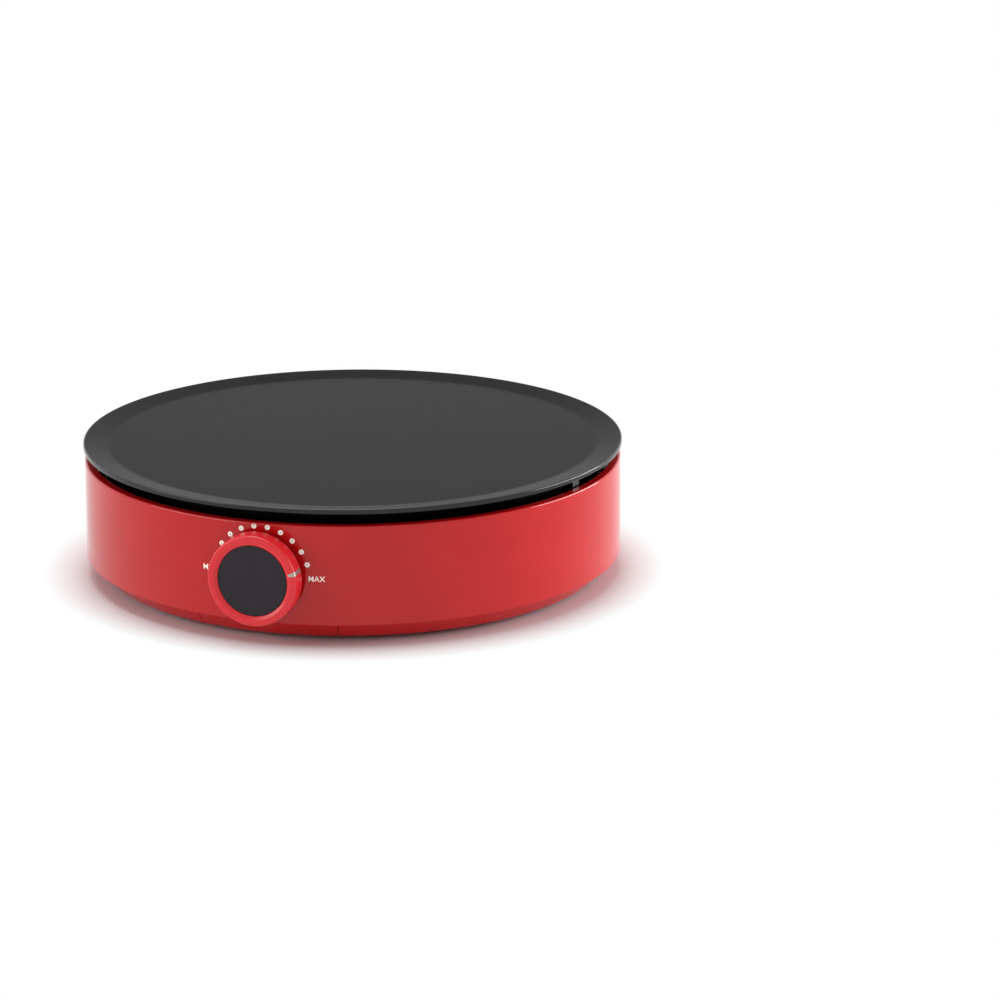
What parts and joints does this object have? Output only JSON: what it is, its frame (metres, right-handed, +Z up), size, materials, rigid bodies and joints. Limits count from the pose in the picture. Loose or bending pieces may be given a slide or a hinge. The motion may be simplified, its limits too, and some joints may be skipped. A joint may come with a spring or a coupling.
{
  "type": "electric crepe maker",
  "caption": "Round countertop crepe maker: non-stick cast plate on a glossy plastic housing, with a front thermostat knob and rubber feet.",
  "frame": {"origin": "on the table plane, under the middle of the round plate", "axes": "+Z up through the plate's middle, -Y out of the front wall along the knob's axis, +X to the right as seen from the front"},
  "size_m": [0.305, 0.3204, 0.0765],
  "materials": {
    "red_gloss": "gloss",
    "nonstick": "satin",
    "aluminised_steel": "satin",
    "zinc_steel": "satin",
    "element_steel": "matte",
    "silver": "satin",
    "black_rubber": "matte",
    "black_plastic": "matte",
    "white_plastic": "matte",
    "brass": "satin",
    "lead_sleeve": "woven",
    "earth_sleeve": "woven",
    "insulator": "matte"
  },
  "bodies": {
    "base": {"housing": "red_gloss", "base_pan": "red_gloss", "rubber_feet": "black_rubber", "foot_screws": "zinc_steel", "base_screws": "zinc_steel", "cooking_plate": "nonstick", "heating_element": "element_steel", "element_insulators": "insulator", "element_pins": "zinc_steel", "element_straps": "zinc_steel", "element_strap_screws": "zinc_steel", "sensor_bulb": "brass", "bulb_strap": "zinc_steel", "bulb_strap_screws": "zinc_steel", "thermal_fuse": "silver", "fuse_strap": "zinc_steel", "fuse_strap_screws": "zinc_steel", "heat_shield": "aluminised_steel", "plate_brackets": "zinc_steel", "plate_screws": "zinc_steel", "bracket_screws": "zinc_steel", "spring_clips": "element_steel", "spring_clip_screws": "zinc_steel", "thermostat_plate": "zinc_steel", "thermostat_body": "black_plastic", "thermostat_diaphragm": "zinc_steel", "thermostat_blades": "brass", "thermostat_screws": "zinc_steel", "capillary_tube": "brass", "terminal_block": "white_plastic", "terminal_block_screws": "zinc_steel", "terminal_screws": "brass", "lead_line": "lead_sleeve", "lead_neutral": "lead_sleeve", "lead_earth": "earth_sleeve", "lead_switched": "lead_sleeve", "lead_element": "lead_sleeve", "earth_screw": "zinc_steel", "cord_bush": "black_rubber", "cord_clamp": "black_plastic", "cord_clamp_screws": "zinc_steel"},
    "knob": {"knob_body": "red_gloss", "knob_cap": "black_plastic", "knob_pointer": "silver", "knob_spring": "zinc_steel", "thermostat_shaft": "zinc_steel"}
  },
  "joints": [
    {"name": "knob_turn", "type": "hinge", "parent": "base", "child": "knob", "pos_m": [0, -0.1556, 0.0386], "axis": [0, -1, 0], "range_deg": [-14, 166]}
  ]
}
